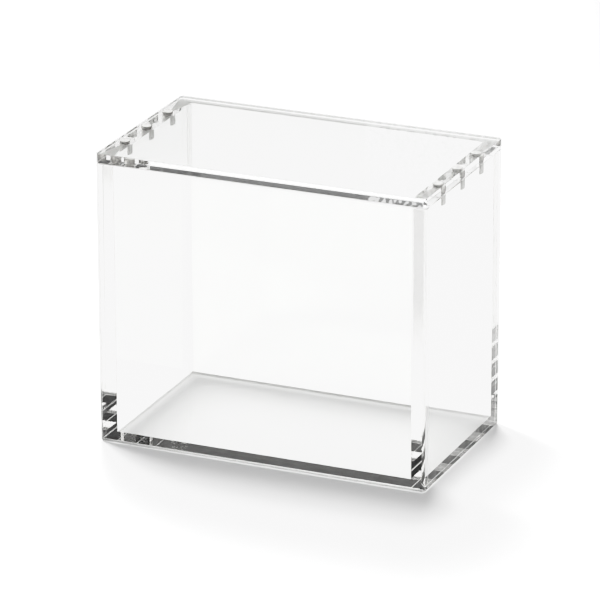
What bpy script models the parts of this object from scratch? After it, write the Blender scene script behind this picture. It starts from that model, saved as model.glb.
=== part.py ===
"""Acrylic display case: a rectangular box of five glued panels under a lift-off lid held by magnets.

Every sub-part is one object. The origin is the centre of the underside, +X runs along the
case's length, +Y along its depth from front to back and +Z up. Sizes are in metres.
"""

import math

import bmesh
import bpy
from mathutils import Vector

# Overall sizes, outside to outside.
CASE_LENGTH = 0.171
CASE_DEPTH = 0.0985
CASE_HEIGHT = 0.1483

# Sheet thicknesses. The side walls are the thick ones, because they hold the magnets.
LID_THICKNESS = 0.005
BASE_THICKNESS = 0.0048
FRONT_THICKNESS = 0.0048
BACK_THICKNESS = 0.0048
SIDE_THICKNESS = 0.008

# Edge work on the sheets.
CORNER_RADIUS = 0.0012
CORNER_SEGMENTS = 3
EDGE_CHAMFER = 0.0003

# Disc magnets: one in each side wall's top edge and one in the lid above it.
MAGNET_DIAMETER = 0.005
WALL_MAGNET_LENGTH = 0.005
LID_MAGNET_LENGTH = 0.0035
MAGNETS_PER_SIDE = 3
MAGNET_CHAMFER = 0.0003
MAGNET_SIDES = 32

# Named clearances.
GLUE_GAP = 0.0003
LID_SEAT_GAP = 0.0003
MAGNET_RADIAL_GAP = 0.0001
MAGNET_END_GAP = 0.0002
MAGNET_SETBACK = 0.0002
CUT_OVERSHOOT = 0.002

# Values that follow from the ones above.
HALF_LENGTH = CASE_LENGTH / 2
HALF_DEPTH = CASE_DEPTH / 2
WALL_TOP = CASE_HEIGHT - LID_THICKNESS - LID_SEAT_GAP
LID_UNDERSIDE = CASE_HEIGHT - LID_THICKNESS
MAGNET_RADIUS = MAGNET_DIAMETER / 2
MAGNET_X = HALF_LENGTH - SIDE_THICKNESS / 2
MAGNET_PITCH = CASE_DEPTH / (MAGNETS_PER_SIDE + 1)

ACRYLIC_COLOUR = (0.93, 0.94, 0.94)
NICKEL_COLOUR = (0.55, 0.55, 0.54)


def clear_scene():
    """Remove every object that the scene holds."""
    for obj in list(bpy.data.objects):
        bpy.data.objects.remove(obj, do_unlink=True)


def new_collection(name, hidden=False):
    """Add a collection to the scene and return it."""
    collection = bpy.data.collections.new(name)
    collection.hide_render = hidden
    bpy.context.scene.collection.children.link(collection)
    return collection


def new_material(name, colour, roughness, metallic, transmission=0.0):
    """Return a Principled material."""
    material = bpy.data.materials.new(name)
    material.use_nodes = True
    shader = material.node_tree.nodes["Principled BSDF"]
    shader.inputs["Base Color"].default_value = (*colour, 1.0)
    shader.inputs["Roughness"].default_value = roughness
    shader.inputs["Metallic"].default_value = metallic
    shader.inputs["Transmission Weight"].default_value = transmission
    return material


def acrylic_material(name):
    """Clear polished acrylic."""
    return new_material(name, ACRYLIC_COLOUR, 0.03, 0.0, transmission=1.0)


def nickel_material(name):
    """Nickel plate on a magnet."""
    return new_material(name, NICKEL_COLOUR, 0.28, 1.0)


def new_object(name, mesh, collection, place):
    """Add an object that holds the mesh, at the given place."""
    obj = bpy.data.objects.new(name, mesh)
    obj.location = place
    collection.objects.link(obj)
    return obj


def is_upright(edge):
    """Whether an edge of a box runs along Z."""
    start, end = (vert.co for vert in edge.verts)
    return abs(start.x - end.x) + abs(start.y - end.y) < 1e-9


def block_mesh(name, low, high, rounded_corners=()):
    """Return a box mesh about its own centre, with chamfered edges.

    rounded_corners holds the (x sign, y sign) of each upright edge that is rounded instead.
    """
    size = Vector(high) - Vector(low)
    mesh = bpy.data.meshes.new(name)
    shape = bmesh.new()
    bmesh.ops.create_cube(shape, size=1.0)
    bmesh.ops.scale(shape, vec=size, verts=shape.verts)
    rounded = []
    for edge in shape.edges:
        middle = (edge.verts[0].co + edge.verts[1].co) / 2
        signs = (int(math.copysign(1, middle.x)), int(math.copysign(1, middle.y)))
        if is_upright(edge) and signs in rounded_corners:
            rounded.append(edge)
    if rounded:
        bmesh.ops.bevel(
            shape, geom=rounded, offset=CORNER_RADIUS, segments=CORNER_SEGMENTS,
            affect="EDGES", profile=0.5,
        )
    # Only the edges where two faces meet squarely get the small chamfer, not those of a rounded corner.
    sharp = [edge for edge in shape.edges if edge.calc_face_angle() > math.radians(60)]
    bmesh.ops.bevel(
        shape, geom=sharp, offset=EDGE_CHAMFER, segments=1, affect="EDGES", profile=0.5,
    )
    shape.to_mesh(mesh)
    shape.free()
    return mesh


def add_panel(name, low, high, collection, rounded_corners=()):
    """Add an acrylic panel that fills the box between two corners."""
    centre = (Vector(low) + Vector(high)) / 2
    mesh = block_mesh(name, low, high, rounded_corners)
    panel = new_object(name, mesh, collection, centre)
    mesh.materials.append(acrylic_material(name + "_acrylic"))
    return panel


def cylinder_mesh(name, radius, length, chamfer=0.0):
    """Return a smooth-shaded upright cylinder about its own centre."""
    mesh = bpy.data.meshes.new(name)
    shape = bmesh.new()
    bmesh.ops.create_cone(
        shape, cap_ends=True, segments=MAGNET_SIDES, radius1=radius, radius2=radius, depth=length,
    )
    if chamfer:
        rims = [edge for edge in shape.edges if edge.calc_face_angle() > math.radians(60)]
        bmesh.ops.bevel(
            shape, geom=rims, offset=chamfer, segments=1, affect="EDGES", profile=0.5,
        )
    shape.to_mesh(mesh)
    shape.free()
    mesh.shade_smooth()
    mesh.set_sharp_from_angle(angle=math.radians(35))
    return mesh


def cut_magnet_hole(panel, x, y, low_z, high_z, cutters):
    """Cut a round hole in a panel with a cylinder that runs from low_z to high_z."""
    name = f"{panel.name}_hole_{len(panel.modifiers) + 1}"
    mesh = cylinder_mesh(name, MAGNET_RADIUS + MAGNET_RADIAL_GAP, high_z - low_z)
    cutter = new_object(name, mesh, cutters, (x, y, (low_z + high_z) / 2))
    cutter.hide_render = True
    cutter.display_type = "WIRE"
    modifier = panel.modifiers.new(name, "BOOLEAN")
    modifier.object = cutter
    modifier.operation = "DIFFERENCE"
    modifier.solver = "EXACT"


def add_magnet(name, x, y, low_z, length, collection):
    """Add one nickel-plated magnet that stands on low_z."""
    mesh = cylinder_mesh(name, MAGNET_RADIUS, length, MAGNET_CHAMFER)
    magnet = new_object(name, mesh, collection, (x, y, low_z + length / 2))
    mesh.materials.append(nickel_material(name + "_nickel"))
    return magnet


def magnet_places():
    """Yield each magnet's Y, from the front of the case to the back."""
    for index in range(MAGNETS_PER_SIDE):
        yield (index - (MAGNETS_PER_SIDE - 1) / 2) * MAGNET_PITCH


def build_base(parts):
    """The base lies between the four walls."""
    inset = GLUE_GAP
    low = (-HALF_LENGTH + SIDE_THICKNESS + inset, -HALF_DEPTH + FRONT_THICKNESS + inset, 0.0)
    high = (HALF_LENGTH - SIDE_THICKNESS - inset, HALF_DEPTH - BACK_THICKNESS - inset, BASE_THICKNESS)
    return add_panel("base_panel", low, high, parts)


def build_front(parts):
    """The front panel covers the side walls' front ends and has the rounded outer corners."""
    low = (-HALF_LENGTH, -HALF_DEPTH, 0.0)
    high = (HALF_LENGTH, -HALF_DEPTH + FRONT_THICKNESS, WALL_TOP)
    return add_panel("front_panel", low, high, parts, rounded_corners=((-1, -1), (1, -1)))


def build_back(parts):
    """The back panel covers the side walls' back ends and has the rounded outer corners."""
    low = (-HALF_LENGTH, HALF_DEPTH - BACK_THICKNESS, 0.0)
    high = (HALF_LENGTH, HALF_DEPTH, WALL_TOP)
    return add_panel("back_panel", low, high, parts, rounded_corners=((-1, 1), (1, 1)))


def build_side(name, side, parts, cutters):
    """A side wall between the front and back panels, with a magnet in each hole of its top edge.

    side is -1 for the left wall and +1 for the right one.
    """
    outer = side * HALF_LENGTH
    inner = side * (HALF_LENGTH - SIDE_THICKNESS)
    low = (min(outer, inner), -HALF_DEPTH + FRONT_THICKNESS + GLUE_GAP, 0.0)
    high = (max(outer, inner), HALF_DEPTH - BACK_THICKNESS - GLUE_GAP, WALL_TOP)
    wall = add_panel(f"{name}_wall", low, high, parts)
    magnet_low = WALL_TOP - MAGNET_SETBACK - WALL_MAGNET_LENGTH
    for number, y in enumerate(magnet_places(), start=1):
        x = side * MAGNET_X
        cut_magnet_hole(wall, x, y, magnet_low - MAGNET_END_GAP, WALL_TOP + CUT_OVERSHOOT, cutters)
        add_magnet(f"{name}_wall_magnet_{number}", x, y, magnet_low, WALL_MAGNET_LENGTH, parts)
    return wall


def build_lid(parts, cutters):
    """The lid lies on the walls, flush with them, with its magnets in blind holes in its underside.

    The lid's magnets are parented to it, so they lift off with it.
    """
    low = (-HALF_LENGTH, -HALF_DEPTH, LID_UNDERSIDE)
    high = (HALF_LENGTH, HALF_DEPTH, CASE_HEIGHT)
    corners = [(x, y) for x in (-1, 1) for y in (-1, 1)]
    lid = add_panel("lid_panel", low, high, parts, rounded_corners=corners)
    magnet_low = LID_UNDERSIDE + MAGNET_SETBACK
    hole_top = magnet_low + LID_MAGNET_LENGTH + MAGNET_END_GAP
    for side, name in ((-1, "left"), (1, "right")):
        for number, y in enumerate(magnet_places(), start=1):
            x = side * MAGNET_X
            cut_magnet_hole(lid, x, y, LID_UNDERSIDE - CUT_OVERSHOOT, hole_top, cutters)
            node = f"{name}_lid_magnet_{number}"
            magnet = add_magnet(node, x, y, magnet_low, LID_MAGNET_LENGTH, parts)
            magnet.location -= lid.location
            magnet.parent = lid
    return lid


def build():
    """Build the whole case."""
    clear_scene()
    parts = new_collection("acrylic_display_case")
    cutters = new_collection("cutters", hidden=True)
    build_base(parts)
    build_front(parts)
    build_back(parts)
    build_side("left", -1, parts, cutters)
    build_side("right", 1, parts, cutters)
    build_lid(parts, cutters)


if __name__ == "__main__":
    build()
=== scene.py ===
"""Looks of a clear acrylic display case with a magnet-held lid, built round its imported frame.

The five glued panels, the lid and the magnets are rebuilt with finished edges, cemented joints
that light passes straight through, and worked surfaces. Sizes come from the frame, in metres.
"""

from __future__ import annotations

import logging
import math
from dataclasses import dataclass
from enum import Enum
from typing import Any, Sequence, Union

import bmesh
import bpy
from mathutils import Matrix, Vector


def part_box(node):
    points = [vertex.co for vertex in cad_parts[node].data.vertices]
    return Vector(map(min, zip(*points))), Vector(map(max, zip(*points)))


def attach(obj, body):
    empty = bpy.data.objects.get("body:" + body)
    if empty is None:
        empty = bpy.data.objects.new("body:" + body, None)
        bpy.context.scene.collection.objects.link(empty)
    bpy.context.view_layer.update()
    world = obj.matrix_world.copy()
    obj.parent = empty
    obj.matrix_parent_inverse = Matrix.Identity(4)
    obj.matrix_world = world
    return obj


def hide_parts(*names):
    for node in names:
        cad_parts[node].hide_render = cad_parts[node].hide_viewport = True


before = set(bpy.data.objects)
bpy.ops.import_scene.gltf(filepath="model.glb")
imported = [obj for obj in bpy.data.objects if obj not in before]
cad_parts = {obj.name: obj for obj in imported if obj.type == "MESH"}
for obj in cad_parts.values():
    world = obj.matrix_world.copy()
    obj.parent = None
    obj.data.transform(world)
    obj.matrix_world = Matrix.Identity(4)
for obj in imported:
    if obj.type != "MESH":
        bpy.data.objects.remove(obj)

MM = 0.001

CASE_BODY = "case"
LID_BODY = "lid"

MAGNET_SIDES = ("left", "right")
MAGNETS_PER_SIDE = 3

LEFT = Vector((-1, 0, 0))
RIGHT = Vector((1, 0, 0))
FRONT = Vector((0, -1, 0))
BACK = Vector((0, 1, 0))
UP = Vector((0, 0, 1))
DOWN = Vector((0, 0, -1))

# Cosines: a face counts as square to an axis, or as mainly facing one, from these up.
SQUARE = 0.999
MAINLY = 0.9

Span = tuple[float, float]

LOG = logging.getLogger("display_case")


# ----------------------------------------------------------------------------------------------
# Shader expressions
# ----------------------------------------------------------------------------------------------


class Value:
    """A number that varies over a surface. Arithmetic with it adds Math nodes to its tree."""

    def __init__(self, board: "Board", socket: bpy.types.NodeSocket) -> None:
        """Wrap a socket.

        Args:
            board: The board that owns the socket's node.
            socket: The output socket.
        """
        self.board = board
        self.socket = socket

    def _math(self, operation: str, *values: Union["Value", float]) -> "Value":
        """Return a Math node's result for the given values."""
        return self.board.value("ShaderNodeMath", {"operation": operation}, dict(enumerate(values)))

    def __add__(self, other: Union["Value", float]) -> "Value":
        """Return self + other."""
        return self._math("ADD", self, other)

    def __radd__(self, other: float) -> "Value":
        """Return other + self."""
        return self._math("ADD", other, self)

    def __sub__(self, other: Union["Value", float]) -> "Value":
        """Return self - other."""
        return self._math("SUBTRACT", self, other)

    def __rsub__(self, other: float) -> "Value":
        """Return other - self."""
        return self._math("SUBTRACT", other, self)

    def __mul__(self, other: Union["Value", float]) -> "Value":
        """Return self * other."""
        return self._math("MULTIPLY", self, other)

    def __rmul__(self, other: float) -> "Value":
        """Return other * self."""
        return self._math("MULTIPLY", other, self)

    def __truediv__(self, other: Union["Value", float]) -> "Value":
        """Return self / other."""
        return self._math("DIVIDE", self, other)

    def __abs__(self) -> "Value":
        """Return the absolute value."""
        return self._math("ABSOLUTE", self)

    def larger(self, other: Union["Value", float]) -> "Value":
        """Return the larger of the two."""
        return self._math("MAXIMUM", self, other)

    def rises(self, low: float, high: float, start: float = 0.0, end: float = 1.0) -> "Value":
        """Return a smooth step from start to end as the value goes from low to high.

        Args:
            low: Where the step starts.
            high: Where the step ends.
            start: The result below low.
            end: The result above high.

        Returns:
            The stepped value.
        """
        settings = {"interpolation_type": "SMOOTHSTEP"}
        sockets = {"Value": self, "From Min": low, "From Max": high, "To Min": start, "To Max": end}
        return self.board.value("ShaderNodeMapRange", settings, sockets, "Result")


Link = Union[Value, bpy.types.NodeSocket, float, Sequence[float]]


class Board:
    """One node tree with short ways to add nodes to it."""

    def __init__(self, tree: bpy.types.NodeTree) -> None:
        """Start from an empty tree.

        Args:
            tree: The node tree, whose nodes are removed.
        """
        self.tree = tree
        tree.nodes.clear()

    def node(self, kind: str, settings: dict[str, Any], sockets: dict[Any, Link]) -> bpy.types.Node:
        """Add a node.

        Args:
            kind: The node's type.
            settings: Its properties, set before its sockets.
            sockets: Its inputs by name or number, each a link or a plain value.

        Returns:
            The new node.
        """
        made = self.tree.nodes.new(kind)
        for name, setting in settings.items():
            setattr(made, name, setting)
        for name, content in sockets.items():
            if isinstance(content, Value):
                content = content.socket
            if isinstance(content, bpy.types.NodeSocket):
                self.tree.links.new(content, made.inputs[name])
            else:
                made.inputs[name].default_value = content
        return made

    def value(
        self,
        kind: str,
        settings: dict[str, Any],
        sockets: dict[Any, Link],
        output: Union[str, int] = 0,
    ) -> Value:
        """Add a node and return one of its outputs as a Value."""
        return Value(self, self.node(kind, settings, sockets).outputs[output])

    def mix_colour(self, factor: Link, first: Link, second: Link) -> bpy.types.NodeSocket:
        """Return a mix of two colours."""
        settings = {"data_type": "RGBA"}
        return self.node("ShaderNodeMix", settings, {0: factor, 6: first, 7: second}).outputs[2]

    def mix_shader(self, factor: Link, first: Link, second: Link) -> bpy.types.NodeSocket:
        """Return a mix of two shaders."""
        return self.node("ShaderNodeMixShader", {}, {0: factor, 1: first, 2: second}).outputs[0]

    def point(self) -> bpy.types.NodeSocket:
        """Return the point on the piece, in the object's own coordinates."""
        return self.node("ShaderNodeTexCoord", {}, {}).outputs["Object"]

    def parts_of(self, vector: Link) -> tuple[Value, Value, Value]:
        """Return a vector's three parts."""
        split = self.node("ShaderNodeSeparateXYZ", {}, {0: vector})
        return tuple(Value(self, socket) for socket in split.outputs)

    def stretched(self, vector: Link, scale: Sequence[float]) -> bpy.types.NodeSocket:
        """Return a vector multiplied part by part."""
        settings = {"operation": "MULTIPLY"}
        return self.node("ShaderNodeVectorMath", settings, {0: vector, 1: scale}).outputs[0]

    def noise(self, vector: Link, scale: float, detail: float = 2.0, rough: float = 0.5) -> Value:
        """Return smooth noise between about 0.2 and 0.8."""
        sockets = {"Vector": vector, "Scale": scale, "Detail": detail, "Roughness": rough}
        return self.value("ShaderNodeTexNoise", {}, sockets, 0)

    def cells(self, vector: Link, scale: float, feature: str = "F1") -> Value:
        """Return the distance field of scattered cells."""
        settings = {"feature": feature}
        sockets = {"Vector": vector, "Scale": scale}
        return self.value("ShaderNodeTexVoronoi", settings, sockets, "Distance")

    def bump(self, height: Value, strength: float, distance: float) -> bpy.types.NodeSocket:
        """Return a normal that follows a height."""
        sockets = {"Height": height, "Strength": strength, "Distance": distance}
        return self.node("ShaderNodeBump", {}, sockets).outputs[0]


# ----------------------------------------------------------------------------------------------
# Finishes
# ----------------------------------------------------------------------------------------------


@dataclass(frozen=True)
class Finish:
    """A named surface finish that makes its own material."""

    name: str

    def material(self) -> bpy.types.Material:
        """Return the material, making it the first time."""
        found = bpy.data.materials.get(self.name)
        if found:
            return found
        made = bpy.data.materials.new(self.name)
        made.use_nodes = True
        board = Board(made.node_tree)
        surface = self.shade(board)
        board.node("ShaderNodeOutputMaterial", {}, {"Surface": surface})
        return made

    def shade(self, board: Board) -> bpy.types.NodeSocket:
        """Build the shader and return its output."""
        raise NotImplementedError


@dataclass(frozen=True)
class AcrylicFinish(Finish):
    """Clear cast acrylic. Lamp light and scattered light pass through it, so its shadow is light.

    The lamp stands behind the case, to the left, so the front sheet and the right wall are on the
    shaded side: front_shade and right_shade are where that side begins. The right wall holds back
    most at its two ends, beyond corner_posts, and only a between_posts share of that in between.
    """

    tint: tuple[float, float, float] = (0.935, 0.938, 0.932)
    index: float = 1.49
    haze: float = 0.0
    scrape: float = 0.0
    scrape_white: float = 0.95
    hairlines: float = 0.03
    level_pass: float = 0.97
    upright_pass: float = 0.985
    lit_foot_pass: float = 0.34
    shaded_foot_pass: float = 0.0
    foot_start: float = 0.004
    lit_foot_end: float = 0.045
    shaded_foot_end: float = 0.125
    front_shade: Span = (-43 * MM, -40 * MM)
    right_shade: Span = (74 * MM, 77 * MM)
    corner_posts: Span = (34 * MM, 44 * MM)
    between_posts: float = 0.1
    level_facing: Span = (0.5, 0.6)
    nick_scale: float = 900.0
    wipe_stretch: tuple[float, float, float] = (30.0, 55.0, 30.0)
    hairline_stretch: tuple[float, float, float] = (9.0, 160.0, 90.0)
    hairline_width: float = 0.012

    def shade(self, board: Board) -> bpy.types.NodeSocket:
        """Build the acrylic and return its shader output."""
        point = board.point()
        surface = board.node(
            "ShaderNodeBsdfPrincipled",
            {},
            {
                "Base Color": (*self.tint, 1.0),
                "Roughness": self._roughness(board, point),
                "IOR": self.index,
                "Transmission Weight": 1.0,
            },
        )
        sheet = surface.outputs[0]
        if self.scrape:
            colour = (self.scrape_white, self.scrape_white, 0.98 * self.scrape_white, 1.0)
            white = board.node("ShaderNodeBsdfDiffuse", {}, {"Color": colour}).outputs[0]
            nicks = board.noise(point, self.nick_scale, 2.0).rises(0.3, 0.7, 0.6 * self.scrape, self.scrape)
            sheet = board.mix_shader(nicks, sheet, white)
        clear = board.node("ShaderNodeBsdfTransparent", {}, {})
        return board.mix_shader(self._lamp_pass(board, point), sheet, clear.outputs[0])

    def _roughness(self, board: Board, point: Link) -> Value:
        """Return a smooth polish with sparse wiping marks and a few hairlines."""
        wiped = board.noise(board.stretched(point, self.wipe_stretch), 1.0, 3.0)
        smears = wiped.rises(0.62, 0.78, 0.0, self.hairlines)
        line = board.cells(board.stretched(point, self.hairline_stretch), 1.0, "DISTANCE_TO_EDGE")
        lines = line.rises(0.0, self.hairline_width, self.hairlines, 0.0)
        return smears * lines + self.haze

    def _lamp_pass(self, board: Board, point: Link) -> Value:
        """Return how much lamp light and scattered light goes straight through.

        The feet of the walls on the shaded side hold back the most, because the light that
        enters them runs down inside the sheet.
        """
        light = board.node("ShaderNodeLightPath", {}, {})
        across, along, height = board.parts_of(point)
        facing = board.parts_of(board.node("ShaderNodeNewGeometry", {}, {}).outputs["True Normal"])[2]
        is_level = abs(facing).rises(*self.level_facing)
        post = self.between_posts + (1.0 - self.between_posts) * abs(along).rises(*self.corner_posts)
        in_front = along.rises(*self.front_shade, 1.0, 0.0)
        shaded_side = in_front.larger(across.rises(*self.right_shade) * post)
        foot = self.lit_foot_pass * (1.0 - shaded_side) + self.shaded_foot_pass * shaded_side
        lit_climb = height.rises(self.foot_start, self.lit_foot_end)
        shaded_climb = height.rises(self.foot_start, self.shaded_foot_end)
        climb = lit_climb * (1.0 - shaded_side) + shaded_climb * shaded_side
        upright = foot * (1.0 - climb) + self.upright_pass * climb
        passed = is_level * self.level_pass + (1.0 - is_level) * upright
        shadow = Value(board, light.outputs["Is Shadow Ray"])
        scattered = Value(board, light.outputs["Is Diffuse Ray"])
        return (shadow * passed).larger(scattered * self.level_pass)


@dataclass(frozen=True)
class CementFinish(Finish):
    """A solvent-cemented joint. Light goes straight through, but for fine streaks, dry spots and bubbles."""

    streak_depth: float = 0.35
    upright_dim: float = 0.13
    upright_streaks: float = 0.1
    upright_start: Span = (4.4 * MM, 5.0 * MM)
    long_share: float = 0.6
    dim_colour: tuple[float, float, float] = (0.42, 0.41, 0.39)
    frost_colour: tuple[float, float, float] = (0.96, 0.96, 0.94)
    streak_stretch: tuple[float, float, float] = (300.0, 300.0, 1500.0)
    speck_scale: float = 2600.0
    dash_stretch: tuple[float, float, float] = (500.0, 500.0, 2600.0)
    poor_spots: tuple[tuple[float, float, float], ...] = (
        (-44.5 * MM, -44.5 * MM, 3.6 * MM),
        (-67.0 * MM, -44.5 * MM, 2.0 * MM),
    )
    poor_reach: float = 5.5 * MM
    index: float = 1.49

    def shade(self, board: Board) -> bpy.types.NodeSocket:
        """Build the joint and return its shader output."""
        point = board.point()
        clear = board.node("ShaderNodeBsdfTransparent", {}, {}).outputs[0]
        dim = board.node("ShaderNodeBsdfTransparent", {}, {"Color": (*self.dim_colour, 1.0)}).outputs[0]
        frost = board.node(
            "ShaderNodeBsdfPrincipled",
            {},
            {
                "Base Color": (*self.frost_colour, 1.0),
                "Roughness": 0.35,
                "IOR": self.index,
                "Transmission Weight": 1.0,
            },
        )
        light = board.node("ShaderNodeLightPath", {}, {})
        shadow = Value(board, light.outputs["Is Shadow Ray"])
        seen = 1.0 - shadow.larger(Value(board, light.outputs["Is Diffuse Ray"]))
        streaked = board.mix_shader(self._streaks(board, point) * seen, clear, dim)
        return board.mix_shader(self._dry(board, point) * seen, streaked, frost.outputs[0])

    def _streaks(self, board: Board, point: Link) -> Value:
        """Return fine streaks that the solvent left. The upright joints are fainter and more even."""
        long_way = board.noise(board.stretched(point, self.streak_stretch), 1.0, 3.0, 0.6)
        specks = board.noise(point, self.speck_scale, 2.0)
        runs = long_way.rises(0.40, 0.62) * self.long_share
        streaks = runs + specks.rises(0.48, 0.62) * (1.0 - self.long_share)
        upright = board.parts_of(point)[2].rises(*self.upright_start)
        even = self.upright_dim + streaks * self.upright_streaks
        return upright * even + (1.0 - upright) * streaks * self.streak_depth

    def _dry(self, board: Board, point: Link) -> Value:
        """Return where the joint stayed dry: short dashes of bubbles near the poor spots."""
        dashes = board.noise(board.stretched(point, self.dash_stretch), 1.0, 1.0).rises(0.55, 0.6)
        reach = 0.0
        for spot in self.poor_spots:
            away = board.node("ShaderNodeVectorMath", {"operation": "DISTANCE"}, {0: point, 1: spot})
            near = Value(board, away.outputs["Value"]).rises(0.3 * self.poor_reach, self.poor_reach, 1.0, 0.0)
            reach = near.larger(reach)
        return dashes * reach


@dataclass(frozen=True)
class NickelFinish(Finish):
    """Nickel plate on a small magnet, with fine tumbling marks, duller spots and painted light: its upward
    end is painted paler and less metallic.
    """

    bright: tuple[float, float, float] = (0.15, 0.147, 0.14)
    dull: tuple[float, float, float] = (0.07, 0.069, 0.066)
    # Painted light: the pale colour of the upward end, the facing at which it starts, and how metallic that
    # end stays.
    top: tuple[float, float, float] = (0.8, 0.8, 0.78)
    top_facing: Span = (0.7, 0.9)
    top_metallic: float = 0.3
    least_roughness: float = 0.22
    roughness_spread: float = 0.25
    spot_scale: float = 900.0
    mark_scale: float = 1600.0

    def shade(self, board: Board) -> bpy.types.NodeSocket:
        """Build the plate and return its shader output."""
        point = board.point()
        spots = board.noise(point, self.spot_scale, 3.0)
        marks = board.noise(board.stretched(point, (1.0, 1.0, 9.0)), self.mark_scale, 2.0)
        facing = board.parts_of(board.node("ShaderNodeNewGeometry", {}, {}).outputs["True Normal"])[2]
        # Painted light: ends that face up are painted pale and made less metallic.
        painted_top_light = facing.rises(*self.top_facing)
        side = board.mix_colour(spots.rises(0.35, 0.7), (*self.bright, 1.0), (*self.dull, 1.0))
        top = board.mix_colour(spots.rises(0.5, 0.6), (*self.top, 1.0), (*self.bright, 1.0))
        colour = board.mix_colour(painted_top_light, side, top)
        surface = board.node(
            "ShaderNodeBsdfPrincipled",
            {},
            {
                "Base Color": colour,
                "Metallic": 1.0 - (1.0 - self.top_metallic) * painted_top_light,
                "Roughness": spots * self.roughness_spread + self.least_roughness,
                "Normal": board.bump(marks, 0.25, 0.02 * MM),
            },
        )
        return surface.outputs[0]


@dataclass(frozen=True)
class PaperFinish(Finish):
    """The matt white sweep that the case stands on.

    It is painted with shade: darker to the right and towards the front, along the scene's own camera's
    directions on the floor (rightward and backward), and darker where the last bounce before it is a
    reflection.
    """

    colour: tuple[float, float, float] = (0.86, 0.86, 0.86)
    # Painted shade: how dark the floor is painted where it is seen by reflection, to the right and towards
    # the front, and where those darker zones lie.
    glance: float = 0.35
    fade: float = 0.62
    near_fade: float = 0.6
    rightward: tuple[float, float] = (0.92, 0.40)
    right_span: Span = (0.16, 0.24)
    backward: tuple[float, float] = (-0.397, 0.917)
    near_span: Span = (-0.26, -0.215)
    tooth_scale: float = 400.0
    tooth_tone: float = 0.985

    def shade(self, board: Board) -> bpy.types.NodeSocket:
        """Build the paper and return its shader output."""
        tooth = board.noise(board.point(), self.tooth_scale, 2.0)
        pitted = (*[c * self.tooth_tone for c in self.colour], 1.0)
        paper = board.mix_colour(tooth, (*self.colour, 1.0), pitted)
        across, along, _ = board.parts_of(board.point())
        # Painted shade: the floor's colour is darkened to the right and towards the front.
        far_right = (across * self.rightward[0] + along * self.rightward[1]).rises(*self.right_span)
        off_right = board.mix_colour(far_right, paper, (*[c * self.fade for c in self.colour], 1.0))
        away = along * self.backward[1] + across * self.backward[0]
        near = away.rises(*self.near_span, 1.0, 0.0)
        faded = board.mix_colour(near, off_right, (*[c * self.near_fade for c in self.colour], 1.0))
        # Painted shade: the floor's colour is darkened where it is seen by reflection.
        glance = board.node("ShaderNodeLightPath", {}, {}).outputs["Is Reflection Ray"]
        shade = board.mix_colour(glance, faded, (*[c * self.glance for c in self.colour], 1.0))
        surface = board.node(
            "ShaderNodeBsdfPrincipled",
            {},
            {"Base Color": shade, "Roughness": 0.9, "Specular IOR Level": 0.0},
        )
        return surface.outputs[0]


POLISHED = AcrylicFinish("acrylic_polished")
THICK = AcrylicFinish("acrylic_thick_sheet", tint=(0.865, 0.868, 0.862))
BUFFED = AcrylicFinish("acrylic_scraped_edge", haze=0.45, hairlines=0.3, scrape=0.5)
SAWN = AcrylicFinish("acrylic_sawn_edge", haze=0.45, hairlines=0.3, scrape=0.65, scrape_white=0.36)
CEMENTED = CementFinish("cemented_joint")
# This finish has the name of the CAD's own plate material, and material() returns the one that it
# finds. So the wall's magnets keep the CAD's plain plate. A name of its own would give it its nodes.
NICKEL = NickelFinish("nickel_plate")
# A far brighter copy of the same nickel, for the lid's magnets: painted light.
NICKEL_PAINTED_LIGHT = NickelFinish("nickel_plate_painted_light", bright=(0.6, 0.59, 0.57), dull=(0.14, 0.137, 0.13))
PAPER = PaperFinish("paper_sweep")


class Surface(Enum):
    """The surfaces of an acrylic piece, each with its material slot's number.

    A buffed edge is a small scraped bevel, and a sawn one is a whole face left satin by the saw.
    """

    POLISHED = 0
    BUFFED = 1
    CEMENTED = 2
    SAWN = 3


SURFACE_FINISHES = {
    Surface.POLISHED: POLISHED,
    Surface.BUFFED: BUFFED,
    Surface.CEMENTED: CEMENTED,
    Surface.SAWN: SAWN,
}


# ----------------------------------------------------------------------------------------------
# Sizes from the frame
# ----------------------------------------------------------------------------------------------


@dataclass(frozen=True)
class MagnetSeat:
    """Where one magnet stands: its axis, its two ends and its radius."""

    x: float
    y: float
    low: float
    high: float
    radius: float

    @classmethod
    def of_node(cls, node: str) -> "MagnetSeat":
        """Read a magnet's place from its CAD node."""
        low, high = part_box(node)
        middle = (low + high) / 2
        return cls(middle.x, middle.y, low.z, high.z, (high.x - low.x) / 2)


@dataclass(frozen=True)
class CaseSizes:
    """The case's driving planes, read from the CAD nodes."""

    half_length: float
    half_depth: float
    inner_x: float
    inner_front: float
    inner_back: float
    floor_top: float
    wall_top: float
    lid_low: float
    lid_high: float
    wall_magnets: tuple[MagnetSeat, ...]
    lid_magnets: tuple[MagnetSeat, ...]

    @classmethod
    def from_frame(cls) -> "CaseSizes":
        """Read every plane from the frame."""
        front_low, front_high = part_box("front_panel")
        lid_low, lid_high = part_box("lid_panel")
        return cls(
            half_length=front_high.x,
            half_depth=-front_low.y,
            inner_x=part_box("right_wall")[0].x,
            inner_front=front_high.y,
            inner_back=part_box("back_panel")[0].y,
            floor_top=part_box("base_panel")[1].z,
            wall_top=front_high.z,
            lid_low=lid_low.z,
            lid_high=lid_high.z,
            wall_magnets=tuple(MagnetSeat.of_node(node) for node in magnet_nodes("wall")),
            lid_magnets=tuple(MagnetSeat.of_node(node) for node in magnet_nodes("lid")),
        )


def magnet_nodes(host: str) -> list[str]:
    """Return the CAD names of the magnets in the walls or in the lid."""
    numbers = range(1, MAGNETS_PER_SIDE + 1)
    return [f"{side}_{host}_magnet_{number}" for side in MAGNET_SIDES for number in numbers]


# ----------------------------------------------------------------------------------------------
# Acrylic pieces
# ----------------------------------------------------------------------------------------------


@dataclass(frozen=True)
class EdgeWork:
    """One kind of edge finish: its width, how many steps it takes and the surface it leaves."""

    width: float
    steps: int
    surface: Surface


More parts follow.
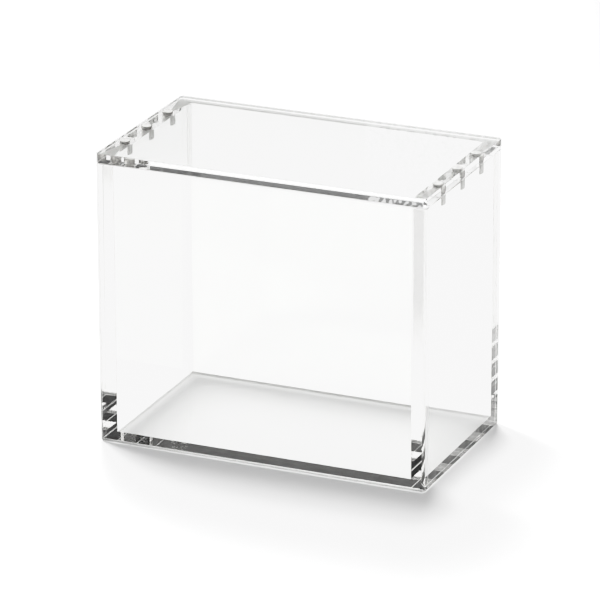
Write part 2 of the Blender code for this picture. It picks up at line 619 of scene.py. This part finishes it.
@dataclass
class AcrylicPiece:
    """A flat sheet of acrylic with finished edges, cemented faces and blind magnet holes."""

    name: str
    node: str
    body: str
    low: Vector
    high: Vector
    outward: tuple[Vector, ...]
    corner: EdgeWork = EdgeWork(1.3 * MM, 1, Surface.POLISHED)
    finish: AcrylicFinish = POLISHED
    top_edge: EdgeWork = EdgeWork(0.25 * MM, 2, Surface.POLISHED)
    foot_edge: EdgeWork = EdgeWork(0.35 * MM, 2, Surface.BUFFED)
    seam_edge: EdgeWork = EdgeWork(0.2 * MM, 1, Surface.BUFFED)
    seams: tuple[tuple[Vector, Vector], ...] = ()
    holes: tuple[MagnetSeat, ...] = ()
    hole_clearance: float = 0.1 * MM
    hole_end_gap: float = 0.2 * MM
    hole_skin: float = 0.05 * MM
    drill_overshoot: float = 3.0 * MM
    hole_sides: int = 48
    cuts: tuple[tuple[Vector, Vector], ...] = ()

    def is_cemented(self, centre: Vector, normal: Vector) -> bool:
        """Whether a face with this centre and normal is part of a joint."""
        return False

    def is_sawn(self, centre: Vector, normal: Vector) -> bool:
        """Whether a face with this centre and normal was left as the saw cut it."""
        return False

    def build(self) -> bpy.types.Object:
        """Make the piece, dress it and put it on its body.

        Returns:
            The finished object.
        """
        mesh = bpy.data.meshes.new(self.name)
        shape = bmesh.new()
        bmesh.ops.create_cube(shape, size=1.0)
        middle = (self.low + self.high) / 2
        size = self.high - self.low
        for vert in shape.verts:
            vert.co = Vector(middle[i] + vert.co[i] * size[i] for i in range(3))
        self._finish_edges(shape)
        for place, normal in self.cuts:
            everything = [*shape.verts, *shape.edges, *shape.faces]
            bmesh.ops.bisect_plane(shape, geom=everything, plane_co=place, plane_no=normal)
        shape.to_mesh(mesh)
        shape.free()
        piece = bpy.data.objects.new(self.name, mesh)
        bpy.context.scene.collection.objects.link(piece)
        self.dress(piece)
        self._drill(piece)
        self._sort_faces(piece.data)
        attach(piece, self.body)
        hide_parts(self.node)
        return piece

    def dress(self, piece: bpy.types.Object) -> None:
        """Give the piece its finishes, one material slot for each surface."""
        for surface in Surface:
            finish = self.finish if surface is Surface.POLISHED else SURFACE_FINISHES[surface]
            piece.data.materials.append(finish.material())

    def _finish_edges(self, shape: bmesh.types.BMesh) -> None:
        """Bevel the outer upright corners, then the outer edges at the top and the foot, then the seams."""
        corners = [edge for edge in shape.edges if self._is_corner(edge)]
        self._work(shape, corners, self.corner)
        self._work(shape, self._rim(shape, UP), self.top_edge)
        self._work(shape, self._rim(shape, DOWN), self.foot_edge)
        for first, second in self.seams:
            self._work(shape, self._between(shape, first, second), self.seam_edge)

    @staticmethod
    def _work(shape: bmesh.types.BMesh, edges: Sequence[bmesh.types.BMEdge], work: EdgeWork) -> None:
        """Bevel some edges as the edge work says."""
        if not edges or not work.width:
            return
        bmesh.ops.bevel(
            shape,
            geom=list(edges),
            offset=work.width,
            segments=work.steps,
            profile=0.5,
            affect="EDGES",
            material=work.surface.value,
        )

    def _is_corner(self, edge: bmesh.types.BMEdge) -> bool:
        """Whether an edge is an upright one between two outward faces."""
        return all(self._faces_out(face.normal) for face in edge.link_faces)

    def _faces_out(self, normal: Vector) -> bool:
        """Whether a direction is one of the piece's outward ones."""
        return any(normal.dot(way) > 0.3 for way in self.outward)

    def _rim(self, shape: bmesh.types.BMesh, way: Vector) -> list[bmesh.types.BMEdge]:
        """Return the outer edges of the face that looks up or down."""
        found = []
        for edge in shape.edges:
            level = [face.normal.dot(way) > MAINLY for face in edge.link_faces]
            if sum(level) == 1:
                other = edge.link_faces[level.index(False)]
                if self._faces_out(other.normal):
                    found.append(edge)
        return found

    @staticmethod
    def _between(shape: bmesh.types.BMesh, first: Vector, second: Vector) -> list[bmesh.types.BMEdge]:
        """Return the edges between a face that looks one way and a face that looks another."""
        found = []
        for edge in shape.edges:
            normals = [face.normal for face in edge.link_faces]
            one = any(normal.dot(first) > SQUARE for normal in normals)
            other = any(normal.dot(second) > SQUARE for normal in normals)
            if one and other:
                found.append(edge)
        return found

    def _drill(self, piece: bpy.types.Object) -> None:
        """Cut a blind hole for each magnet."""
        for seat in self.holes:
            drill = self._drill_bit(seat)
            cut = piece.modifiers.new("hole", "BOOLEAN")
            cut.object = drill
            cut.solver = "EXACT"
            graph = bpy.context.evaluated_depsgraph_get()
            drilled = bpy.data.meshes.new_from_object(piece.evaluated_get(graph))
            piece.modifiers.clear()
            piece.data = drilled
            bpy.data.objects.remove(drill)

    def _drill_bit(self, seat: MagnetSeat) -> bpy.types.Object:
        """Return the cutter for one hole, which overshoots the sheet's open face."""
        radius = seat.radius + self.hole_clearance
        opens_up = self.body == CASE_BODY
        low = seat.low - (self.hole_end_gap if opens_up else self.drill_overshoot)
        high = seat.high + (self.drill_overshoot if opens_up else self.hole_end_gap)
        mesh = bpy.data.meshes.new("drill")
        shape = bmesh.new()
        bmesh.ops.create_cone(
            shape,
            cap_ends=True,
            segments=self.hole_sides,
            radius1=radius,
            radius2=radius,
            depth=high - low,
        )
        bmesh.ops.translate(shape, verts=shape.verts, vec=(seat.x, seat.y, (low + high) / 2))
        shape.to_mesh(mesh)
        shape.free()
        drill = bpy.data.objects.new("drill", mesh)
        bpy.context.scene.collection.objects.link(drill)
        return drill

    def _in_hole(self, centre: Vector) -> bool:
        """Whether a face's centre is on the wall or the end of a magnet's hole."""
        for seat in self.holes:
            reach = seat.radius + self.hole_clearance + self.hole_skin
            near = math.hypot(centre.x - seat.x, centre.y - seat.y) < reach
            spare = 2 * self.hole_end_gap
            if near and seat.low - spare < centre.z < seat.high + spare:
                return True
        return False

    def _sort_faces(self, mesh: bpy.types.Mesh) -> None:
        """Mark the cemented and the sawn faces, and shade only the edge work smooth."""
        for face in mesh.polygons:
            flat = max(abs(part) for part in face.normal) > SQUARE
            face.use_smooth = not flat
            if flat and self.is_cemented(face.center, face.normal) or self._in_hole(face.center):
                face.material_index = Surface.CEMENTED.value
            elif flat and self.is_sawn(face.center, face.normal):
                face.material_index = Surface.SAWN.value


@dataclass
class BasePanel(AcrylicPiece):
    """The base, cemented to the walls on all four edges."""

    def is_cemented(self, centre: Vector, normal: Vector) -> bool:
        """Whether a face is one of the four upright ones."""
        return abs(normal.z) < 0.5


@dataclass
class WidePanel(AcrylicPiece):
    """The front or back panel, cemented to the ends of the side walls and the base's edge."""

    inner_x: float = 0.0
    inner_y: float = 0.0
    floor_top: float = 0.0

    def is_cemented(self, centre: Vector, normal: Vector) -> bool:
        """Whether a face on the inner side lies against a side wall or the base."""
        on_inner = abs(centre.y - self.inner_y) < 0.01 * MM and abs(normal.y) > MAINLY
        return on_inner and (abs(centre.x) > self.inner_x or centre.z < self.floor_top)

    def is_sawn(self, centre: Vector, normal: Vector) -> bool:
        """Whether a face is the panel's foot or its top edge."""
        return abs(normal.z) > MAINLY


@dataclass
class SideWall(AcrylicPiece):
    """A thick side wall, cemented between the front and back panels and to the base."""

    floor_top: float = 0.0
    finish: AcrylicFinish = THICK

    def is_cemented(self, centre: Vector, normal: Vector) -> bool:
        """Whether a face is an end of the wall or lies against the base."""
        against_base = centre.z < self.floor_top and normal.dot(self.outward[0]) < -MAINLY
        return abs(normal.y) > MAINLY or against_base

    def is_sawn(self, centre: Vector, normal: Vector) -> bool:
        """Whether a face is the wall's top edge."""
        return normal.z > MAINLY


# ----------------------------------------------------------------------------------------------
# Magnets
# ----------------------------------------------------------------------------------------------


class Grower:
    """Builds a Geometry Nodes tree and turns its result into a plain mesh."""

    def __init__(self, name: str) -> None:
        """Start a tree with one geometry output.

        Args:
            name: The tree's name.
        """
        self.tree = bpy.data.node_groups.new(name, "GeometryNodeTree")
        self.tree.interface.new_socket("Geometry", in_out="OUTPUT", socket_type="NodeSocketGeometry")
        self.inputs = self.tree.nodes.new("NodeGroupInput")
        self.output = self.tree.nodes.new("NodeGroupOutput")
        self.settings: dict[str, Any] = {}

    def entry(self, name: str, kind: str, setting: Any) -> bpy.types.NodeSocket:
        """Add a named input.

        Args:
            name: The input's name.
            kind: Its socket type.
            setting: Its value on the modifier.

        Returns:
            The input's socket inside the tree.
        """
        socket = self.tree.interface.new_socket(name, in_out="INPUT", socket_type=kind)
        self.settings[socket.identifier] = setting
        return self.inputs.outputs[name]

    def add(self, kind: str, settings: dict[str, Any], sockets: dict[Any, Any]) -> bpy.types.NodeSocket:
        """Add a node.

        Args:
            kind: The node's type.
            settings: Its properties, set before its sockets.
            sockets: Its inputs: a link, a list of links for a joining socket, or a plain value.

        Returns:
            The node's first output.
        """
        made = self.tree.nodes.new(kind)
        for name, setting in settings.items():
            setattr(made, name, setting)
        for name, content in sockets.items():
            for item in content if isinstance(content, list) else [content]:
                if isinstance(item, bpy.types.NodeSocket):
                    self.tree.links.new(item, made.inputs[name])
                else:
                    made.inputs[name].default_value = item
        return made.outputs[0]

    def scaled(self, link: bpy.types.NodeSocket, factor: float, base: Any = 0.0) -> bpy.types.NodeSocket:
        """Return link * factor + base."""
        settings = {"operation": "MULTIPLY_ADD"}
        return self.add("ShaderNodeMath", settings, {0: link, 1: factor, 2: base})

    def grow(self, name: str, result: bpy.types.NodeSocket) -> bpy.types.Object:
        """Run the tree and return an object that holds its result as a plain mesh.

        Args:
            name: The object's name.
            result: The geometry that the tree ends in.

        Returns:
            The new object, with no modifier.
        """
        self.tree.links.new(result, self.output.inputs[0])
        grown = bpy.data.objects.new(name, bpy.data.meshes.new(name + "_seed"))
        bpy.context.scene.collection.objects.link(grown)
        modifier = grown.modifiers.new("grow", "NODES")
        modifier.node_group = self.tree
        for identifier, setting in self.settings.items():
            modifier[identifier] = setting
        graph = bpy.context.evaluated_depsgraph_get()
        mesh = bpy.data.meshes.new_from_object(grown.evaluated_get(graph))
        grown.modifiers.remove(modifier)
        grown.data = mesh
        mesh.name = name
        return grown


@dataclass
class MagnetRows:
    """Two rows of round magnets, one along each side, grown as one mesh."""

    name: str
    host: str
    body: str
    seats: tuple[MagnetSeat, ...]
    finish: NickelFinish = NICKEL
    rim: float = 0.22 * MM
    rim_steps: int = 3
    sides: int = 40
    seed: int = 4

    def build(self) -> bpy.types.Object:
        """Grow the magnets, dress them and put them on their body.

        Returns:
            The finished object.
        """
        first = self.seats[0]
        pitch = self.seats[1].y - first.y
        grower = Grower(self.name + "_rows")
        start = grower.entry("Row Start", "NodeSocketVector", (first.x, first.y, first.low))
        step = grower.entry("Row Step", "NodeSocketVector", (0.0, pitch, 0.0))
        across = grower.entry("Across", "NodeSocketVector", (-2 * first.x, 0.0, 0.0))
        count = grower.entry("Row Count", "NodeSocketInt", MAGNETS_PER_SIDE)
        seed = grower.entry("Seed", "NodeSocketInt", self.seed)
        row = grower.add(
            "GeometryNodeMeshLine",
            {"mode": "OFFSET"},
            {"Count": count, "Start Location": start, "Offset": step},
        )
        other_row = grower.add("GeometryNodeTransform", {}, {"Geometry": row, "Translation": across})
        rows = grower.add("GeometryNodeJoinGeometry", {}, {"Geometry": [row, other_row]})
        turn = grower.add(
            "FunctionNodeRandomValue",
            {"data_type": "FLOAT_VECTOR"},
            {"Min": (0.0, 0.0, 0.0), "Max": (0.0, 0.0, math.tau), "Seed": seed},
        )
        placed = grower.add(
            "GeometryNodeInstanceOnPoints",
            {},
            {"Points": rows, "Instance": self._magnet(grower, first), "Rotation": turn},
        )
        real = grower.add("GeometryNodeRealizeInstances", {}, {"Geometry": placed})
        plated = {"Geometry": real, "Material": self.finish.material()}
        piece = grower.grow(self.name, grower.add("GeometryNodeSetMaterial", {}, plated))
        for face in piece.data.polygons:
            face.use_smooth = abs(face.normal.z) < SQUARE
        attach(piece, self.body)
        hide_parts(*magnet_nodes(self.host))
        return piece

    def _magnet(self, grower: Grower, seat: MagnetSeat) -> bpy.types.NodeSocket:
        """Return one magnet that stands on the origin: short cones that round its rims, and two caps."""
        radius = grower.entry("Radius", "NodeSocketFloat", seat.radius)
        length = grower.entry("Length", "NodeSocketFloat", seat.high - seat.low)
        rim = grower.entry("Rim", "NodeSocketFloat", self.rim)
        sides = grower.entry("Sides", "NodeSocketInt", self.sides)
        turns = [math.pi / 2 * step / self.rim_steps for step in range(self.rim_steps + 1)]
        insets = [grower.scaled(rim, math.sin(turn) - 1, radius) for turn in turns]
        rises = [grower.scaled(rim, 1 - math.cos(turn)) for turn in turns]
        falls = [grower.scaled(rise, -1.0, length) for rise in rises]
        rings = list(zip(insets + insets[::-1], rises + falls[::-1]))
        shell = []
        for (below, low), (above, high) in zip(rings, rings[1:]):
            depth = grower.add("ShaderNodeMath", {"operation": "SUBTRACT"}, {0: high, 1: low})
            sockets = {"Vertices": sides, "Radius Top": above, "Radius Bottom": below, "Depth": depth}
            band = grower.add("GeometryNodeMeshCone", {"fill_type": "NONE"}, sockets)
            shell.append(self._raised(grower, band, low))
        cap_sockets = {"Vertices": sides, "Radius": insets[0]}
        cap = grower.add("GeometryNodeMeshCircle", {"fill_type": "NGON"}, cap_sockets)
        shell.append(self._raised(grower, cap, length))
        shell.append(grower.add("GeometryNodeFlipFaces", {}, {"Mesh": cap}))
        joined = grower.add("GeometryNodeJoinGeometry", {}, {"Geometry": shell})
        return grower.add("GeometryNodeMergeByDistance", {}, {"Geometry": joined, "Distance": 0.01 * MM})

    @staticmethod
    def _raised(
        grower: Grower, shape: bpy.types.NodeSocket, height: bpy.types.NodeSocket
    ) -> bpy.types.NodeSocket:
        """Return a shape moved up."""
        offset = grower.add("ShaderNodeCombineXYZ", {}, {"Z": height})
        return grower.add("GeometryNodeTransform", {}, {"Geometry": shape, "Translation": offset})


# ----------------------------------------------------------------------------------------------
# The case
# ----------------------------------------------------------------------------------------------


@dataclass
class DisplayCase:
    """The glued case, its lid and the magnets of both."""

    sizes: CaseSizes

    def build(self) -> list[bpy.types.Object]:
        """Build every piece of the case.

        Returns:
            The finished pieces.
        """
        sheets = [self._base(), *self._wide_panels(), *self._side_walls(), self._lid()]
        magnets = [
            MagnetRows("wall_magnets", "wall", CASE_BODY, self.sizes.wall_magnets),
            # The lid's magnets take the brighter copy of the nickel, which is painted light.
            MagnetRows("lid_magnets", "lid", LID_BODY, self.sizes.lid_magnets, NICKEL_PAINTED_LIGHT),
        ]
        return [part.build() for part in (*sheets, *magnets)]

    def _base(self) -> BasePanel:
        """Return the base, which fills the space between the walls."""
        s = self.sizes
        return BasePanel(
            "acrylic_base",
            "base_panel",
            CASE_BODY,
            Vector((-s.inner_x, s.inner_front, 0)),
            Vector((s.inner_x, s.inner_back, s.floor_top)),
            outward=(),
            seams=tuple((DOWN, way) for way in (LEFT, RIGHT, FRONT, BACK)),
        )

    def _wide_panels(self) -> list[WidePanel]:
        """Return the front and back panels, which cover the ends of the side walls."""
        s = self.sizes
        planes = (
            ("front", -s.half_depth, s.inner_front, FRONT),
            ("back", s.inner_back, s.half_depth, BACK),
        )
        cuts = (
            (Vector((-s.inner_x, 0, 0)), RIGHT),
            (Vector((s.inner_x, 0, 0)), RIGHT),
            (Vector((0, 0, s.floor_top)), UP),
        )
        return [
            WidePanel(
                f"acrylic_{side}",
                f"{side}_panel",
                CASE_BODY,
                Vector((-s.half_length, low, 0)),
                Vector((s.half_length, high, s.wall_top)),
                outward=(way, LEFT, RIGHT),
                seams=((DOWN, -way), (LEFT, -way), (RIGHT, -way)),
                cuts=cuts,
                inner_x=s.inner_x,
                inner_y=s.inner_front if way is FRONT else s.inner_back,
                floor_top=s.floor_top,
            )
            for side, low, high, way in planes
        ]

    def _side_walls(self) -> list[SideWall]:
        """Return the two thick side walls, each drilled for its magnets."""
        s = self.sizes
        walls = []
        for side, way in (("left", LEFT), ("right", RIGHT)):
            ends = sorted((way.x * s.inner_x, way.x * s.half_length))
            end_seams = tuple((face, end) for face in (DOWN, way, -way) for end in (FRONT, BACK))
            walls.append(
                SideWall(
                    f"acrylic_{side}_wall",
                    f"{side}_wall",
                    CASE_BODY,
                    Vector((ends[0], s.inner_front, 0)),
                    Vector((ends[1], s.inner_back, s.wall_top)),
                    outward=(way,),
                    seams=((DOWN, -way), *end_seams),
                    holes=tuple(seat for seat in s.wall_magnets if seat.x * way.x > 0),
                    cuts=((Vector((0, 0, s.floor_top)), UP),),
                    floor_top=s.floor_top,
                )
            )
        return walls

    def _lid(self) -> AcrylicPiece:
        """Return the lid, drilled for its magnets from below."""
        s = self.sizes
        return AcrylicPiece(
            "acrylic_lid",
            "lid_panel",
            LID_BODY,
            Vector((-s.half_length, -s.half_depth, s.lid_low)),
            Vector((s.half_length, s.half_depth, s.lid_high)),
            outward=(LEFT, RIGHT, FRONT, BACK),
            foot_edge=EdgeWork(0.25 * MM, 2, Surface.POLISHED),
            holes=s.lid_magnets,
        )


# ----------------------------------------------------------------------------------------------
# Studio
# ----------------------------------------------------------------------------------------------


@dataclass
class Studio:
    """A white sweep under a soft lamp, with dark surroundings that draw the edges of the acrylic.

    Each span of the surroundings is where a change starts and ends, as a part of the direction
    that one looks in: its part across, its part along, its height, or for the card's two sides
    its part across over its part along. The card is placed for the scene's own camera.
    """

    floor_drop: float = 0.3 * MM
    floor_radius: float = 7.0
    lamp_strength: float = 4.8
    lamp_angle: float = 46.0
    lamp_azimuth: float = 225.0
    lamp_elevation: float = 46.0
    horizon_glow: float = 1.1
    overhead_glow: float = 0.3
    left_glow: float = 0.055
    high_left_glow: float = 0.07
    card_glow: float = 0.36
    right_glow: float = 0.01
    front_glow: float = 0.07
    front_span: Span = (-0.3, 0.3)
    side_span: Span = (-0.25, 0.25)
    horizon_behind: Span = (0.06, 0.12)
    horizon_in_front: Span = (0.335, 0.37)
    high_left: Span = (0.34, 0.37)
    overhead_span: Span = (0.6, 0.78)
    card_left: Span = (-0.4160, -0.4148)
    card_right: Span = (-0.30, -0.25)
    card_behind: Span = (0.1, 0.2)
    card_foot: Span = (0.27, 0.28)
    card_head: Span = (0.355, 0.36)
    card_mottle: Span = (0.5, 0.56)
    card_grain: float = 1100.0
    floor_sides: int = 96
    sheet_bounces: int = 96
    scatter_bounces: int = 3
    tone: tuple[tuple[float, float], ...] = (
        (0.0, 0.0),
        (0.1, 0.24),
        (0.2, 0.45),
        (0.4, 0.75),
        (0.52, 0.84),
        (0.65, 0.915),
        (0.94, 0.952),
        (1.02, 1.0),
    )

    def build(self) -> None:
        """Make the floor, the surroundings and the lamp, and set how light travels."""
        self._floor()
        self._surroundings()
        self._lamp()
        self._light_paths()
        self._high_key()

    def _floor(self) -> None:
        """Lay the white floor, a hair below the case."""
        mesh = bpy.data.meshes.new("floor")
        shape = bmesh.new()
        bmesh.ops.create_circle(shape, cap_ends=True, segments=self.floor_sides, radius=self.floor_radius)
        bmesh.ops.translate(shape, verts=shape.verts, vec=(0, 0, -self.floor_drop))
        shape.to_mesh(mesh)
        shape.free()
        mesh.materials.append(PAPER.material())
        floor = bpy.data.objects.new("floor", mesh)
        bpy.context.scene.collection.objects.link(floor)

    def _surroundings(self) -> None:
        """Shade the world by height: white low down, dark in the middle and less dark overhead."""
        world = bpy.data.worlds.new("studio")
        world.use_nodes = True
        board = Board(world.node_tree)
        way = board.node("ShaderNodeTexCoord", {}, {}).outputs["Generated"]
        across, along, height = board.parts_of(way)
        in_front = along.rises(*self.front_span, 1.0, 0.0)
        above_behind = height.rises(*self.horizon_behind) * (1.0 - in_front)
        above_horizon = above_behind + height.rises(*self.horizon_in_front) * in_front
        overhead = height.rises(*self.overhead_span)
        on_left = height.rises(*self.high_left, self.left_glow, self.high_left_glow)
        on_right = across.rises(*self.side_span)
        behind = on_left * (1.0 - on_right) + on_right * self.right_glow
        dark = behind * (1.0 - in_front) + in_front * self.front_glow
        upper = dark * (1.0 - overhead) + overhead * self.overhead_glow
        glow = (1.0 - above_horizon) * self.horizon_glow + above_horizon * upper + self._card(board, way)
        sockets = {"Color": (1.0, 1.0, 1.0, 1.0), "Strength": glow}
        surface = board.node("ShaderNodeBackground", {}, sockets).outputs[0]
        board.node("ShaderNodeOutputWorld", {}, {"Surface": surface})
        bpy.context.scene.world = world

    def _card(self, board: Board, way: Link) -> Value:
        """Return the glow of a mottled white card that stands behind, to the left, at the lid's height."""
        across, along, height = board.parts_of(way)
        turn = across / along
        sides = turn.rises(*self.card_left) * turn.rises(*self.card_right, 1.0, 0.0)
        wide = sides * along.rises(*self.card_behind)
        tall = height.rises(*self.card_foot) * height.rises(*self.card_head, 1.0, 0.0)
        mottled = board.noise(way, self.card_grain, 0.0).rises(*self.card_mottle, 1.0, 0.1)
        return wide * tall * mottled * self.card_glow

    def _lamp(self) -> None:
        """Hang the soft lamp above and behind the case, to its left."""
        light = bpy.data.lights.new("softbox", "SUN")
        light.energy = self.lamp_strength
        light.angle = math.radians(self.lamp_angle)
        lamp = bpy.data.objects.new("softbox", light)
        lamp.rotation_euler = (
            math.radians(90.0 - self.lamp_elevation),
            0.0,
            math.radians(self.lamp_azimuth),
        )
        lamp.visible_glossy = False
        lamp.visible_transmission = False
        bpy.context.scene.collection.objects.link(lamp)

    def _light_paths(self) -> None:
        """Let light bounce often enough to run along the inside of the sheets."""
        scene = bpy.context.scene
        scene.cycles.max_bounces = self.sheet_bounces
        scene.cycles.transmission_bounces = self.sheet_bounces
        scene.cycles.glossy_bounces = self.sheet_bounces
        scene.cycles.transparent_max_bounces = self.sheet_bounces
        scene.cycles.diffuse_bounces = self.scatter_bounces
        scene.cycles.use_denoising = True

    def _high_key(self) -> None:
        """Develop the picture bright, with a soft shoulder that sets the sheets off from the paper."""
        view = bpy.context.scene.view_settings
        view.view_transform = "Standard"
        view.use_curve_mapping = True
        curve = view.curve_mapping.curves[3]
        for point, (level, tone) in zip(curve.points[:2], (self.tone[0], self.tone[-1])):
            point.location = (level, tone)
        for level, tone in self.tone[1:-1]:
            curve.points.new(level, tone)
        view.curve_mapping.update()


@dataclass(frozen=True)
class CameraRig:
    """A long lens that looks down on the front right corner."""

    lens: float = 284.61
    azimuth: float = 23.396
    elevation: float = 20.347
    roll: float = -0.0963
    distance: float = 2.3106
    slide: float = 0.0135 * MM
    rise: float = 4.904 * MM
    sensor: float = 36.0
    farthest: float = 100.0

    def build(self, middle: Vector) -> bpy.types.Object:
        """Place the camera.

        Args:
            middle: The middle of the case.

        Returns:
            The camera, set as the scene's.
        """
        turn, tilt, roll = (math.radians(angle) for angle in (self.azimuth, self.elevation, self.roll))
        back = Vector((math.sin(turn) * math.cos(tilt), -math.cos(turn) * math.cos(tilt), math.sin(tilt)))
        right = Vector((math.cos(turn), math.sin(turn), 0))
        up = back.cross(right)
        rolled_right = right * math.cos(roll) + up * math.sin(roll)
        rolled_up = up * math.cos(roll) - right * math.sin(roll)
        place = middle + back * self.distance - rolled_right * self.slide - rolled_up * self.rise
        camera = bpy.data.cameras.new("camera")
        camera.lens = self.lens
        camera.sensor_width = self.sensor
        camera.clip_end = self.farthest
        holder = bpy.data.objects.new("camera", camera)
        axes = Matrix((rolled_right, rolled_up, back)).transposed().to_4x4()
        holder.matrix_world = Matrix.Translation(place) @ axes
        bpy.context.scene.collection.objects.link(holder)
        bpy.context.scene.camera = holder
        return holder


# ----------------------------------------------------------------------------------------------
# The whole scene
# ----------------------------------------------------------------------------------------------


def main() -> None:
    """Build the case, then the studio and the camera."""
    logging.basicConfig(level=logging.INFO, format="%(name)s: %(message)s")
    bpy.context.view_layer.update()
    sizes = CaseSizes.from_frame()
    for piece in DisplayCase(sizes).build():
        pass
    Studio().build()
    CameraRig().build(Vector((0, 0, sizes.lid_high / 2)))


if __name__ == "__main__":
    main()
